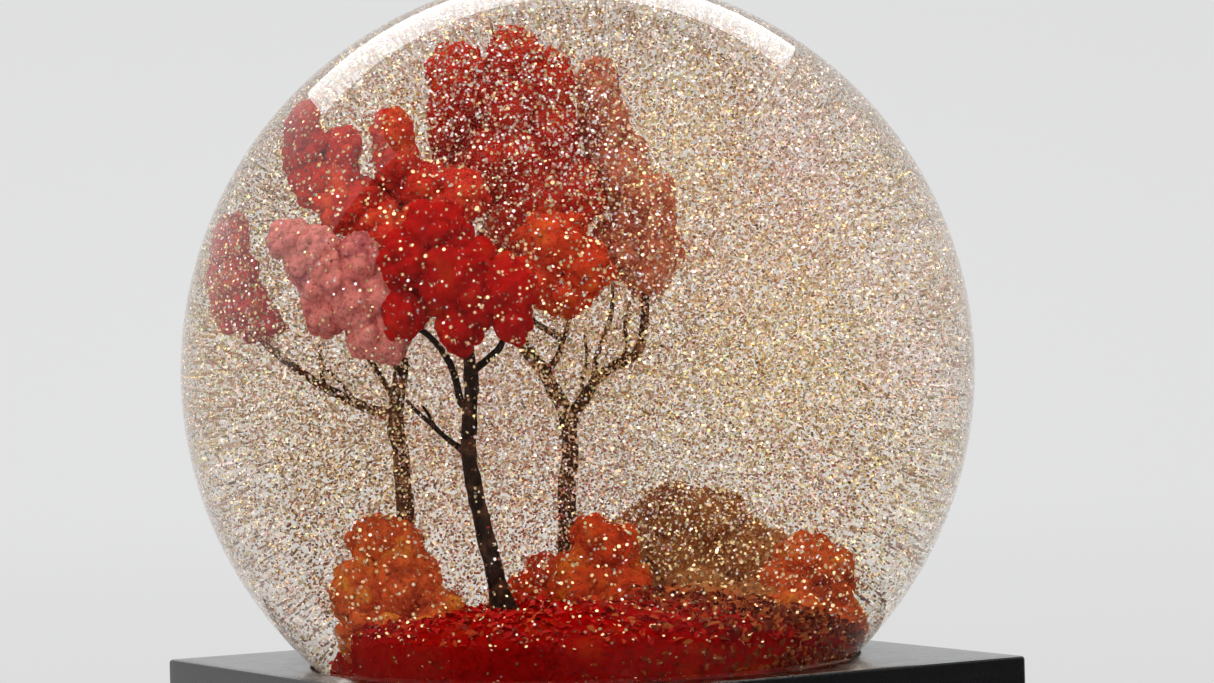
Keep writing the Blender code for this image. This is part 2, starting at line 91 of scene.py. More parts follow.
# Trees: each limb is (points, radius at its start, radius at its end), the trunk first
TREES = {
    "front_tree_trunk": (
        (((-9.4, -16, -32), (-10.1, -16, -27), (-11, -17, -23), (-12, -17.5, -18), (-12.9, -18, -13.5),
          (-13.5, -19, -9), (-13.3, -19.5, -5.5), (-13, -20, -2.5), (-13.1, -21, 1), (-13.6, -23, 5.5),
          (-14.5, -25, 10.5)), 1.25, 0.7),
        (((-13.3, -18.8, -9.8), (-14.6, -18, -8.6), (-16.2, -17, -7.3), (-17.9, -16.3, -5.6),
          (-19.6, -15.6, -4), (-20.6, -15, -2.8)), 0.42, 0.2),
        (((-17.4, -16.5, -6.2), (-18.1, -16.8, -4.6), (-18.9, -17, -3.4)), 0.28, 0.14),
        (((-13.2, -19.6, -4.8), (-14.3, -19.8, -3), (-15, -20.3, 0), (-16, -21, 2.4), (-18.5, -22, 5.4),
          (-22.5, -22, 7.6), (-28, -21.8, 10)), 0.48, 0.3),
        (((-13.1, -20.9, 0.4), (-10.8, -22, 2.2), (-9.2, -23, 4), (-8, -24.6, 8.5)), 0.5, 0.3),
    ),
    "left_tree_trunk": (
        (((-19.2, 8, -34), (-19.2, 8, -26), (-19.3, 8, -18), (-19.5, 7.8, -12.5), (-19.8, 7.5, -8.5),
          (-20.3, 7, -5.5), (-20, 6.6, -2), (-19.6, 6, 0.5), (-19.9, 4, 5), (-20.2, 0, 10),
          (-20.6, -4.5, 15)), 1.2, 0.6),
        (((-20.1, 7, -5.2), (-21.4, 7, -4.4), (-23.8, 7.2, -3.4), (-25.9, 7.5, -2.3), (-28.2, 7.8, -1.1),
          (-30.3, 8, 0.5), (-32.8, 8.2, 2.4), (-35, 8.4, 4.6), (-37.2, 8.4, 8)), 0.62, 0.3),
        (((-28, 7.8, -1.2), (-28.3, 7, 1.2), (-28.7, 5.8, 3.4)), 0.3, 0.16),
        (((-24.6, 7.4, -3), (-26.4, 6.6, -0.6), (-28.6, 6, 1.4)), 0.26, 0.14),
        (((-20, 6.4, -2.8), (-21, 5.5, -1.8), (-22.3, 4, 0.4), (-24, 2, 2.6), (-25.4, 0.8, 4.6)), 0.38, 0.2),
        (((-20.2, 0, 9.6), (-24, -3.5, 15), (-27, -4.5, 20), (-30, -3, 25)), 0.55, 0.3),
        (((-20.3, -2, 12.2), (-18, -5.5, 18), (-18.6, -6, 24)), 0.55, 0.3),
    ),
    "right_tree_trunk": (
        (((-1.8, 12.5, -33), (-1.7, 12.3, -25), (-1.6, 12, -17), (-1.5, 12, -12.5), (-1.1, 12, -9),
          (-1.3, 12, -5.5), (-1.9, 11.8, -3.8), (-3, 11, -1.6), (-4, 10.5, 0.2), (-5.2, 10, 1.6),
          (-6.4, 9.2, 3.6), (-7.6, 8.4, 7.5), (-8.6, 8, 13), (-8.6, 8, 20)), 1.25, 0.45),
        (((-3.6, 10.7, -0.4), (-2.2, 10.8, 1.4), (-1.5, 10.4, 3.4), (-0.7, 10, 5.6), (-0.2, 9.6, 7.4)),
         0.4, 0.2),
        (((-1.5, 10.4, 3.2), (-3, 9.6, 4.2), (-4.4, 6, 5.2), (-5.2, 1.5, 6.4), (-5, -1.5, 8.5)), 0.38, 0.24),
        (((-1.2, 12, -6), (-0.4, 12, -4.6), (0.8, 12, -3), (1.9, 12, -1.3), (3.5, 12, -0.1), (5.1, 12, 0.8),
          (6.6, 12, 1.8), (7.2, 12, 4), (7.5, 11.4, 7), (7.3, 11.2, 11), (6.2, 12.6, 16)), 0.68, 0.34),
        (((1.7, 12, -1.6), (2, 12.6, 1), (2.8, 13.4, 3.2), (3.7, 14, 5.6), (4, 14, 9)), 0.36, 0.2),
        (((-4.6, 10.2, 1), (-5.6, 11, 3.2), (-5.4, 11.6, 5.6), (-4.6, 11.4, 8.4)), 0.3, 0.18),
        (((4.6, 12, 0.5), (5.4, 12.8, 2.4), (5.2, 13, 4.6), (5.8, 12.8, 7)), 0.28, 0.16),
        (((0.6, 12, -3.3), (0.4, 11.2, -1.2), (1, 10.8, 1), (0.8, 10.6, 3.6)), 0.26, 0.15),
    ),
}

# Foliage: each clump has a slot, a colour's name, and its lobes as a centre and three radii
CROWNS = {
    "front_crown": ("flock_deep_red", "deep_red", (
        (-20.7, -25.5, 14.6, 4, 5, 4), (-15, -26, 12.8, 5.4, 6, 5), (-8.8, -26, 10.8, 4.4, 5.4, 4.2),
        (-14.6, -26, 6.2, 2.6, 4, 3.4), (-8, -26, 7.2, 2.5, 4, 3.2), (-21.6, -25.5, 8.4, 2.8, 4, 3.6),
        (-17.4, -25.5, 18.6, 4.4, 5, 3.6), (-12, -26, 9, 2.4, 4, 3.4))),
    "front_crown_left": ("flock_salmon", "salmon", (
        (-36.8, -19, 18.2, 3, 4, 2.4), (-33.4, -20, 15.8, 4, 5, 4), (-31, -21, 12.6, 4.4, 5.4, 4),
        (-28.2, -21.5, 9.8, 4.2, 5.4, 4), (-26, -21.5, 5.8, 2.8, 4.2, 3.4), (-31.8, -21, 8.6, 2.3, 4, 3.4),
        (-27.4, -21, 14.4, 3.8, 5, 3.8), (-24.4, -21.5, 10.2, 3.4, 4.6, 4),
        (-23.2, -22, 5.6, 2.6, 4.2, 3.6))),
    "left_crown": ("flock_red", "red", (
        (-33, -2, 31.4, 2.4, 4, 3.4), (-32, -2, 27.6, 2.9, 4.4, 3.6), (-30.2, -3, 23.4, 3.2, 4.6, 3.6),
        (-27.4, -4, 27.2, 2.2, 4.2, 2.8), (-27.6, -4.4, 23.4, 2.7, 4.8, 3.4),
        (-21.4, -6, 29.2, 2.5, 4.4, 2.9), (-20.8, -6, 25.4, 2.9, 4.8, 3.6), (-18.2, -6, 22.4, 4, 5.2, 2.8),
        (-13.4, -6, 21, 3.8, 5, 3.2), (-26.4, -6.5, 20.4, 4.4, 5.6, 3.4), (-23, -7.5, 17, 4.4, 6, 4.2),
        (-17, -7.5, 17.6, 4.8, 6, 4.2))),
    "left_crown_outer": ("flock_salmon", "coral", (
        (-38.9, 8, 15.4, 2.6, 4.4, 3.2), (-38.2, 8, 11.6, 3, 4.6, 3.4), (-37, 8, 8, 3.2, 4.6, 3),
        (-34.8, 8, 6.2, 2.2, 3.8, 2.2))),
    "right_crown_tall": ("flock_red", "red", (
        (-6.2, 8, 35, 2.9, 4.8, 3.2), (-12.6, 8, 33.2, 3.2, 5, 3.4), (-2.8, 9, 31.6, 3.2, 5, 3.8),
        (-7.6, 8, 30, 5.4, 6.2, 4.4), (-13, 8, 28.4, 3, 5.4, 4.6), (-2.6, 9, 26.2, 3.4, 5.6, 4.6),
        (-7.8, 8, 24, 6.8, 6.8, 5), (-12, 8, 20.6, 3.8, 5.8, 4.6), (-4.8, 8, 18.6, 5.4, 6.4, 5),
        (0, 9.5, 19.6, 3.2, 5, 4.2), (-6.6, 7.8, 14.4, 4.4, 5.8, 3.2))),
    "right_crown_side": ("flock_orange", "orange", (
        (2.9, 14, 30, 2.3, 4.4, 3), (3.6, 14, 25.6, 2.6, 4.8, 3.6), (4.8, 14, 21.2, 3.4, 5.4, 3.8),
        (7.4, 13, 17.4, 3.6, 5.4, 3.6), (7.8, 12.8, 13.2, 3.8, 5.2, 3.8), (5, 12, 12.6, 4, 5.4, 3.2),
        (8, 12, 10.2, 2.6, 4.2, 2.4))),
    "right_crown_front": ("flock_red", "ember", (
        (-2.6, -4, 14.6, 4.4, 5.2, 3.8), (-4.8, -3.5, 10.8, 3.6, 5, 3.6), (0.6, -3.5, 12, 3.6, 5, 3.6),
        (-1.4, -3.5, 9, 3, 4.4, 2.6))),
    "left_shrub": ("flock_salmon", "rust", (
        (-23.4, 0.5, -19, 3.2, 4.2, 3.2), (-20.6, 0.5, -20.4, 2.9, 4.2, 3.6), (-25.6, -1, -25.6, 3.8, 4.8, 5),
        (-21, -1, -25, 5, 5.2, 5), (-17.6, -1.5, -28.4, 4, 4.8, 4.4), (-25, -2, -31, 4.4, 4.8, 4),
        (-23.6, -6, -32.6, 4.4, 4.4, 4), (-17.6, -6.5, -31.6, 4, 4.4, 3.6))),
    "middle_shrub": ("flock_salmon", "ember", (
        (-4.6, 9, -22.6, 1.9, 2.8, 2.8), (-6.4, 9, -25.4, 2.6, 3.2, 3.4), (-3.9, 9, -26.2, 2.4, 3.2, 3.2))),
    "right_shrub": ("flock_orange", "orange_red", (
        (1.2, -6, -19.4, 2.5, 4, 2.7), (3.4, -6, -21.4, 3.2, 4.4, 3.8), (-0.8, -6.8, -25.8, 3.6, 4.8, 4.8),
        (3.8, -7, -27, 4.4, 5, 5), (7.2, -7, -30, 3.2, 4.2, 3.4), (0.4, -11, -30.4, 4, 4.2, 3.4),
        (6.6, -12, -31.6, 4, 4.2, 3.2))),
    "back_shrub": ("flock_olive", "olive", (
        (9.4, 20.5, -16.4, 4.4, 5.4, 3.8), (13.6, 20, -16.8, 4, 5.4, 4), (5, 21, -20, 4.6, 5.4, 4.6),
        (11, 20.5, -23.4, 6.8, 6.4, 7.6), (17.6, 19, -21.4, 4.4, 5.4, 4.8), (20.4, 18, -25.6, 3.6, 5, 4.4),
        (3, 21, -26, 4.4, 5.2, 5.6), (16, 19, -28, 6, 5.6, 5.6), (12.4, 8, -26.6, 5, 5, 4.6),
        (13.6, 0, -28.8, 5, 5, 4.2), (20.4, 14, -22.4, 3.6, 4.8, 4), (11.4, -9, -31.2, 4.2, 4.4, 3.4),
        (18.4, 1, -28.6, 4.4, 4.6, 4.4))),
    "outer_shrub": ("flock_orange", "rust", (
        (24, 7.5, -21.8, 3.2, 4.6, 3.2), (27, 6.6, -23.8, 3, 4.6, 3.6), (22, 7, -26, 3.4, 4.8, 4.6),
        (26.4, 6, -28, 4.4, 5.2, 4.8), (30.2, 4, -31.2, 2.8, 4, 3.6), (21, 6, -30.4, 3.4, 4.4, 3.6),
        (18.4, -9, -31.8, 4.4, 4.4, 3.6), (24, -4, -31, 4.4, 4.4, 4.2), (25, -11, -34, 3.6, 4, 3.2))),
}

# Glitter: each film's share of the flakes, and its roughness
FILMS = {"champagne": (0.24, 0.3), "gold": (0.18, 0.3), "copper": (0.14, 0.35), "pearl": (0.16, 0.3),
         "rose": (0.12, 0.35), "green": (0.08, 0.35), "bronze": (0.08, 0.45)}


# Numbers that repeat the same way each run ------------------------------------------------------------


def cell_number(cell, seed):
    """A number from 0 to 1 for each whole-number cell of three coordinates, by mixing their bits."""
    i, j, k = (cell[..., axis].astype(np.int64).astype(np.uint32) for axis in range(3))
    n = i * np.uint32(73856093) ^ j * np.uint32(19349663) ^ k * np.uint32(83492791) ^ np.uint32(seed * 7919)
    n = (n ^ (n >> np.uint32(13))) * np.uint32(1540483477)
    n = (n ^ (n >> np.uint32(15))) * np.uint32(2246822519)
    return (n ^ (n >> np.uint32(16))) / np.float64(2**32)


def smooth_noise(points, size, seed):
    """Numbers from -1 to 1 that change smoothly over cells of the given size: each cell's eight corner
    numbers, mixed by a smoothstep of the place in the cell."""
    place = points / size
    cell = np.floor(place)
    share = place - cell
    share = share * share * (3 - 2 * share)
    total = 0
    for corner in itertools.product((0, 1), repeat=3):
        weight = np.prod(np.where(corner, share, 1 - share), axis=-1)
        total = total + weight * cell_number(cell + corner, seed)
    return total * 2 - 1


def crumbs(points, size, seed):
    """Heights from 0 to 1 of a surface heaped with round crumbs: one less the squared distance, in
    crumb sizes, to the nearest of one scattered point in each cell."""
    place = points / size
    cell = np.floor(place)
    nearest = np.full(place.shape[:-1], np.inf)
    for step in itertools.product((-1, 0, 1), repeat=3):
        other = cell + step
        scattered = np.stack([cell_number(other, seed + axis) for axis in range(3)], axis=-1)
        nearest = np.minimum(nearest, np.sum((other + scattered - place) ** 2, axis=-1))
    return np.clip(1 - nearest, 0, 1)


# Arrays of points -------------------------------------------------------------------------------------


def unit(vectors):
    """The vectors, each made 1 long."""
    return vectors / np.linalg.norm(vectors, axis=-1, keepdims=True)


def about_z(reach, angle, z):
    """Points at a reach from Z, an angle round it and a height, each a number or an array."""
    return np.stack(np.broadcast_arrays(reach * np.cos(angle), reach * np.sin(angle), z), axis=-1)


# Meshes -----------------------------------------------------------------------------------------------


def skin(rows, first=None, last=None, ring=False):
    """Points and faces of a surface through closed rows of points. An end is closed to a tip where one
    is given, and a ring joins the last row to the first."""
    count, around, _ = rows.shape
    points = rows.reshape(-1, 3)
    here = np.arange(count * around).reshape(count, around)
    side = np.roll(here, -1, axis=1)
    below, beside_below = (np.roll(a, -1, axis=0) for a in (here, side))
    upto = count if ring else count - 1
    quads = np.stack([here, below, beside_below, side], axis=-1)[:upto].reshape(-1, 4)
    faces = [quads]
    if first is not None:
        faces.append(np.stack([np.full(around, len(points)), here[0], side[0]], axis=-1))
        points = np.vstack([points, first])
    if last is not None:
        faces.append(np.stack([here[-1], np.full(around, len(points)), side[-1]], axis=-1))
        points = np.vstack([points, last])
    return points, faces


def joined(shapes):
    """Several (points, faces) as one."""
    points, faces, start = [], [], 0
    for some, its_faces in shapes:
        points.append(some)
        faces += [face + start for face in its_faces]
        start += len(some)
    return np.vstack(points), faces


def turned(profile, steps):
    """A profile of (r, z) points turned about Z, from its top down its outer side. A first or last
    point on the axis closes that end."""
    profile = np.asarray(profile, float)
    ends = [profile[i] if profile[i, 0] < 1e-9 else None for i in (0, -1)]
    inner = profile[(1 if ends[0] is not None else 0): (-1 if ends[1] is not None else len(profile))]
    angle = np.linspace(0, 2 * np.pi, steps, endpoint=False)
    rows = about_z(inner[:, :1], angle, inner[:, 1:])
    tips = [None if end is None else np.array([0, 0, end[1]]) for end in ends]
    return skin(rows, *tips, ring=not any(end is not None for end in ends))


def arc(radius, centre_r, centre_z, start, end, steps):
    """Points (r, z) on a circle, at angles in degrees measured from +Z towards +r."""
    angle = np.radians(np.linspace(start, end, steps + 1))
    return np.stack([centre_r + radius * np.sin(angle), centre_z + radius * np.cos(angle)], axis=-1)


def fill_mesh(mesh, points, faces):
    """Puts points, in millimetres, and faces of any number of corners into an empty mesh."""
    mesh.vertices.add(len(points))
    mesh.vertices.foreach_set("co", (points * MM).astype(np.float32).ravel())
    corners = np.concatenate([face.ravel() for face in faces]).astype(np.int32)
    sizes = np.concatenate([np.full(len(face), face.shape[1]) for face in faces])
    mesh.loops.add(len(corners))
    mesh.loops.foreach_set("vertex_index", corners)
    mesh.polygons.add(len(sizes))
    mesh.polygons.foreach_set("loop_start", np.concatenate([[0], np.cumsum(sizes)[:-1]]).astype(np.int32))
    mesh.update(calc_edges=True)
    mesh.validate()


def read_surface(mesh):
    """A mesh's points, in metres, and the normals at them."""
    columns = np.empty((2, len(mesh.vertices) * 3), np.float32)
    mesh.vertices.foreach_get("co", columns[0])
    mesh.vertex_normals.foreach_get("vector", columns[1])
    return columns.reshape(2, -1, 3)


def new_piece(name, shape, materials, body, replaced=(), smooth=True, sharp=None, heights=None):
    """Makes an object from (points, faces), gives it its materials and ties it to a body of the frame."""
    mesh = bpy.data.meshes.new(name)
    fill_mesh(mesh, *shape)
    if smooth:
        mesh.shade_smooth()
    if sharp:
        mesh.set_sharp_from_angle(angle=math.radians(sharp))
    if heights is not None:
        # The crumb heights, which the flock material turns into painted shade between the crumbs
        mesh.attributes.new("height", "FLOAT", "POINT").data.foreach_set("value", heights.astype(np.float32))
    for material in materials:
        mesh.materials.append(material)
    piece = bpy.data.objects.new(name, mesh)
    bpy.context.scene.collection.objects.link(piece)
    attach(piece, body)
    if replaced:
        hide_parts(*replaced)
    return piece


def to_row(points):
    """Points of the figurine's frame in the globe's frame, still in millimetres."""
    c, s = math.cos(FIGURE_TURN), math.sin(FIGURE_TURN)
    x, y, z = points[..., 0], points[..., 1], points[..., 2]
    return np.stack([c * x - s * y, s * x + c * y, z + BALL_Z], axis=-1)


def smooth_path(points, spacing):
    """A curve through all the points, as Catmull-Rom pieces, at about even steps."""
    points = np.asarray(points, float)
    padded = np.vstack([2 * points[0] - points[1], points, 2 * points[-1] - points[-2]])
    pieces = []
    for a, b, c, d in zip(padded, padded[1:], padded[2:], padded[3:]):
        t = np.linspace(0, 1, max(2, round(np.linalg.norm(c - b) / spacing)), endpoint=False)[:, None]
        pieces.append(0.5 * (2 * b + (c - a) * t + (2 * a - 5 * b + 4 * c - d) * t**2
                             + (3 * b - a - 3 * c + d) * t**3))
    return np.vstack([*pieces, points[-1:]])


# Materials --------------------------------------------------------------------------------------------


class Painter:
    """A Principled material and the nodes that feed it, on Object coordinates."""

    def __init__(self, name, **sockets):
        self.material = bpy.data.materials.new(name)
        self.material.use_nodes = True
        self.tree = self.material.node_tree
        self.shader = self.tree.nodes["Principled BSDF"]
        self.place = None
        for socket, value in sockets.items():
            self.shader.inputs[socket.replace("_", " ")].default_value = value

    def node(self, kind, **values):
        node = self.tree.nodes.new("ShaderNode" + kind)
        for socket, value in values.items():
            node.inputs[socket.replace("_", " ")].default_value = value
        return node

    def link(self, source, target):
        self.tree.links.new(source, target)

    def coordinates(self):
        if self.place is None:
            self.place = self.node("TexCoord").outputs["Object"]
        return self.place

    def noise(self, size, detail=3.0, roughness=0.55, squash=None):
        """Noise of about the given size in millimetres; squash scales its X, Y and Z before it."""
        source = self.coordinates()
        if squash:
            mapping = self.node("Mapping", Scale=squash)
            self.link(source, mapping.inputs["Vector"])
            source = mapping.outputs["Vector"]
        noise = self.node("TexNoise", Scale=1 / (size * MM), Detail=detail, Roughness=roughness)
        self.link(source, noise.inputs["Vector"])
        return noise.outputs["Fac"]

    def attribute(self, name):
        node = self.node("Attribute")
        node.attribute_name = name
        return node.outputs["Fac"]

    def ramp(self, source, *stops):
        """A colour ramp of (position, colour) stops."""
        ramp = self.node("ValToRGB")
        elements = ramp.color_ramp.elements
        while len(elements) < len(stops):
            elements.new(0.5)
        for element, (position, colour) in zip(elements, stops):
            element.position = position
            element.color = (*colour, 1)
        self.link(source, ramp.inputs["Fac"])
        return ramp.outputs["Color"]

    def mix(self, share, first, second, blend="MIX"):
        node = self.node("Mix")
        node.data_type = "RGBA"
        node.blend_type = blend
        sockets = [s for s in node.inputs if s.enabled]
        for source, socket in zip((share, first, second), sockets):
            if isinstance(source, bpy.types.NodeSocket):
                self.link(source, socket)
            else:
                socket.default_value = source if isinstance(source, float) else (*source, 1)
        return [s for s in node.outputs if s.enabled][0]

    def span(self, source, low, high):
        """Stretches 0..1 to low..high."""
        node = self.node("MapRange", To_Min=low, To_Max=high)
        self.link(source, node.inputs["Value"])
        return node.outputs["Result"]

    def paint(self, colour, roughness):
        self.link(colour, self.shader.inputs["Base Color"])
        self.link(roughness, self.shader.inputs["Roughness"])

    def bump(self, source, depth, strength=1.0):
        """Bump of the given depth in millimetres."""
        node = self.node("Bump", Strength=strength, Distance=depth * MM)
        self.link(source, node.inputs["Height"])
        self.link(node.outputs["Normal"], self.shader.inputs["Normal"])


def shaded(colour, factor):
    """A colour made darker or lighter."""
    return tuple(min(1.0, c * factor) for c in colour)


def lacquer_material(settings):
    """Black lacquer: an even gloss with a faint ripple and slightly changing sheen."""
    paint = Painter("black_lacquer", Coat_Weight=0.35, Coat_Roughness=0.08, Specular_IOR_Level=0.5)
    patchy = paint.noise(9, 4)
    colour = paint.ramp(patchy, (0.3, shaded(settings.lacquer, 0.8)), (0.75, shaded(settings.lacquer, 1.3)))
    paint.paint(colour, paint.span(paint.noise(3.5, 5), settings.roughness * 0.75, settings.roughness * 1.3))
    paint.bump(paint.noise(1.6, 2), 0.004, 0.5)
    return paint.material


def felt_material():
    """Pressed felt: short fibres in every direction."""
    paint = Painter("felt", Sheen_Weight=0.4)
    fibres = paint.noise(0.5, 6, 0.7)
    paint.paint(paint.ramp(fibres, (0.3, (0.012, 0.012, 0.013)), (0.7, (0.05, 0.05, 0.054))),
                paint.span(fibres, 0.85, 1.0))
    paint.bump(fibres, 0.12)
    return paint.material


def moulded_material(name, colour, low, high, grain):
    """Rubber, plastic or sealant with a fine moulded grain."""
    paint = Painter(name)
    patchy = paint.noise(grain, 4)
    paint.paint(paint.ramp(patchy, (0.3, shaded(colour, 0.85)), (0.7, shaded(colour, 1.12))),
                paint.span(patchy, low, high))
    paint.bump(patchy, 0.03)
    return paint.material


def clear_material(name, ior, tint=(1.0, 1.0, 1.0)):
    """A clear boundary that bends light by the ratio of its two sides' indices."""
    return Painter(name, Base_Color=(*tint, 1), Roughness=0.0, IOR=ior, Transmission_Weight=1.0).material


def bark_material(name, colour):
    """Dark bark with long furrows and a few paler scales."""
    paint = Painter(name, Specular_IOR_Level=0.1)
    furrows = paint.noise(0.9, 5, 0.65, squash=(1, 1, 0.35))
    scales = paint.noise(1.8, 3)
    dark = paint.ramp(furrows, (0.35, shaded(colour, 0.35)), (0.6, colour))
    scaly = paint.ramp(scales, (0.56, (0, 0, 0)), (0.66, (1, 1, 1)))
    paint.paint(paint.mix(scaly, dark, shaded(colour, 2.6)), paint.span(furrows, 0.6, 0.9))
    paint.bump(furrows, 0.25)
    return paint.material


def flock_material(name, colour):
    """Flock crumbs with deeper and warmer patches, and painted shade: dark between the crumbs, lighter on
    their tops.
    """
    paint = Painter(name, Specular_IOR_Level=0.0)
    patches = paint.noise(5.5, 6, 0.62)
    deep = (colour[0] * 0.58, colour[1] * 0.42, colour[2] * 0.5)
    warm = (min(1, colour[0] * 1.1), min(colour[1] * 2.2 + 0.015, colour[0] * 0.42), colour[2] * 1.25)
    tone = paint.ramp(patches, (0.36, deep), (0.47, colour), (0.54, colour), (0.66, warm))
    # Painted shade: darker where the crumb height is low, between the crumbs, and lighter on their tops
    depth = paint.ramp(paint.attribute("height"), (0.08, (0.55, 0.45, 0.45)), (0.36, (0.95, 0.95, 0.95)),
                       (0.8, (1, 1, 1)))
    fine = paint.noise(0.7, 5, 0.72)
    mottle = paint.ramp(fine, (0.36, (0.56, 0.48, 0.48)), (0.5, (0.97, 0.97, 0.97)), (0.62, (1, 1, 1)))
    # The tone times the painted shade between the crumbs
    heaped = paint.mix(1.0, tone, depth, "MULTIPLY")
    paint.paint(paint.mix(1.0, heaped, mottle, "MULTIPLY"), paint.span(fine, 0.75, 0.95))
    paint.bump(fine, 0.25)
    return paint.material


def glint_material(name, colour, roughness):
    """One colour of glitter: bare metal film, the same all over."""
    return Painter(name, Base_Color=(*colour, 1), Metallic=1.0, Roughness=roughness).material


# Settings ---------------------------------------------------------------------------------------------


def colour_setting(name, description, default):
    """A colour that a user may change."""
    return FloatVectorProperty(name=name, description=description, default=default, subtype="COLOR",
                               size=3, min=0, max=1)


class GlassSettings(bpy.types.PropertyGroup):
    wall: FloatProperty(name="Wall", description="Thickness of the glass, in millimetres", default=2.3)
    glass_ior: FloatProperty(name="Glass index", description="Refractive index of the glass", default=1.5)
    liquid_ior: FloatProperty(name="Liquid index", description="Refractive index of the liquid", default=1.34)


class BaseSettings(bpy.types.PropertyGroup):
    ease: FloatProperty(name="Edge", description="Radius of the softened edges, in millimetres", default=0.6)
    lacquer: colour_setting("Lacquer", "Colour of the base", (0.005, 0.0045, 0.005))
    roughness: FloatProperty(name="Roughness", description="Roughness of the lacquer", default=0.26,
                             subtype="FACTOR", min=0, max=1)


class FigureSettings(bpy.types.PropertyGroup):
    crumb: FloatProperty(name="Crumb", description="Size of the flock crumbs, in millimetres", default=1.1)
    fineness: FloatProperty(name="Fineness", description="Mesh size of the foliage, in millimetres",
                            default=0.28)
    leaves: IntProperty(name="Leaves", description="Number of fallen leaves", default=2600)
    bark: colour_setting("Bark", "Colour of the back trees' bark", (0.15, 0.066, 0.026))
    dark_bark: colour_setting("Dark bark", "Colour of the front tree's bark", (0.040, 0.017, 0.009))
    ground: colour_setting("Ground", "Colour of the leaf bed", (0.52, 0.003, 0.002))
    deep_red: colour_setting("Deep red", "Foliage near the front", (0.64, 0.007, 0.004))
    red: colour_setting("Red", "Foliage of the back trees", (0.84, 0.05, 0.027))
    ember: colour_setting("Ember", "Foliage between the trees", (0.86, 0.07, 0.02))
    orange: colour_setting("Orange", "Foliage on the right", (1.0, 0.30, 0.165))
    orange_red: colour_setting("Orange red", "Shrub beside the front tree", (0.68, 0.065, 0.012))
    salmon: colour_setting("Salmon", "Paler foliage on the left", (1.0, 0.32, 0.285))
    coral: colour_setting("Coral", "Foliage at the far left", (0.98, 0.13, 0.125))
    rust: colour_setting("Rust", "Paler shrubs", (0.92, 0.16, 0.035))
    olive: colour_setting("Olive", "Shrub at the back", (0.62, 0.25, 0.075))
    litter: IntProperty(name="Litter", description="Number of brown leaves at the right", default=2400)
    umber: colour_setting("Umber", "Darker brown leaves", (0.26, 0.035, 0.010))
    ochre: colour_setting("Ochre", "Paler brown leaves", (0.54, 0.12, 0.022))


class GlitterSettings(bpy.types.PropertyGroup):
    flake: FloatProperty(name="Flake", description="Width of a flake, in millimetres", default=0.30)
    count: IntProperty(name="Count", description="Flakes in the whole liquid", default=320000)
    settled: IntProperty(name="Settled", description="Flakes caught on a middling clump", default=330)
    seed: IntProperty(name="Seed", description="Start of the random numbers", default=7)
    champagne: colour_setting("Champagne", "Commonest flakes", (1.0, 0.88, 0.70))
    gold: colour_setting("Gold", "Yellow flakes", (1.0, 0.80, 0.40))
    copper: colour_setting("Copper", "Warm flakes", (0.95, 0.60, 0.40))
    pearl: colour_setting("Pearl", "Pale flakes", (0.98, 0.94, 0.97))
    rose: colour_setting("Rose", "Pink flakes", (1.0, 0.72, 0.74))
    green: colour_setting("Green", "Greenish flakes", (0.78, 0.84, 0.44))
    bronze: colour_setting("Bronze", "Dark flakes", (0.45, 0.30, 0.16))


class StageSettings(bpy.types.PropertyGroup):
    sky: FloatProperty(name="Sky", description="Strength of the even light from above", default=2.85)
    wall_light: FloatProperty(name="Wall light", description="Glow of the floor and wall", default=0.51)
    flag_light: FloatProperty(name="Flag light", description="Glow of the black flag", default=0.05)
    flag_width: FloatProperty(name="Flag width", description="Degrees from its middle to an edge", default=85)
    softbox: FloatProperty(name="Softbox", description="Power of the lamp above", default=9.0, unit="POWER")
    fill: FloatProperty(name="Fill", description="Power of the lamp in front", default=5.6, unit="POWER")
    distance: FloatProperty(name="Distance", description="Camera to the ball, in millimetres", default=600)
    lens: FloatProperty(name="Lens", description="Focal length", default=117.25, unit="CAMERA")


SETTINGS = {"globe_glass": GlassSettings, "globe_base": BaseSettings, "globe_figure": FigureSettings,
            "globe_glitter": GlitterSettings, "globe_stage": StageSettings}


# Shapes of the figurine -------------------------------------------------------------------------------


def mound_height(x, y):
    """The ground's height: a dome with its crest in the middle, and low waves."""
    dome = np.clip(1 - (x * x + y * y) / MOUND_R**2, 0, 1) ** 0.45
    waves = 0.5 * np.sin(0.33 * x + 0.8) * np.cos(0.29 * y) + 0.35 * np.sin(0.6 * y + 0.45 * x)
    return MOUND_EDGE_Z + (MOUND_CREST_Z - MOUND_EDGE_Z + waves) * dome


def mound_reach(angle):
    """How far the leaf bed reaches: the whole mound, less a bay at its left."""
    return MOUND_R - 0.3 - BAY_DEPTH * np.exp(-(((angle - np.pi) / BAY_WIDTH) ** 2))


def ground_shape():
    """The mound: rings of points under mound_height, heaped with crumbs of leaf litter, then a rim
    that drops to the stopper."""
    share = np.sin(np.linspace(0, np.pi / 2, 120)[1:])
    angle = np.linspace(0, 2 * np.pi, 300, endpoint=False)
    reach = mound_reach(angle) * share[:, None]
    x, y = reach * np.cos(angle), reach * np.sin(angle)
    rows = np.stack([x, y, mound_height(x, y)], axis=-1)
    heap = 0.6 * crumbs(rows, 2.3, 11) + 0.4 * crumbs(rows, 0.95, 12)
    rows[..., 2] += 0.9 * heap - 0.2
    bottom = STOPPER_TOP + 0.3 - BALL_Z
    drop = np.linspace(0, 1, 12)[1:, None]
    rim = np.repeat(rows[-1:], len(drop), axis=0)
    rim[..., 2] += (bottom - rim[..., 2]) * drop
    swell = 1 + 0.012 * (crumbs(rim, 2.0, 13) - 0.5)
    rim[..., :2] *= swell[..., None]
    rows = np.concatenate([rows, rim])
    heights = np.concatenate([heap.ravel(), crumbs(rim, 2.0, 13).ravel(), [0.5, 0.5]])
    crest = np.array([0, 0, rows[0, :, 2].mean()])
    return skin(rows, crest, np.array([0, 0, bottom])), heights


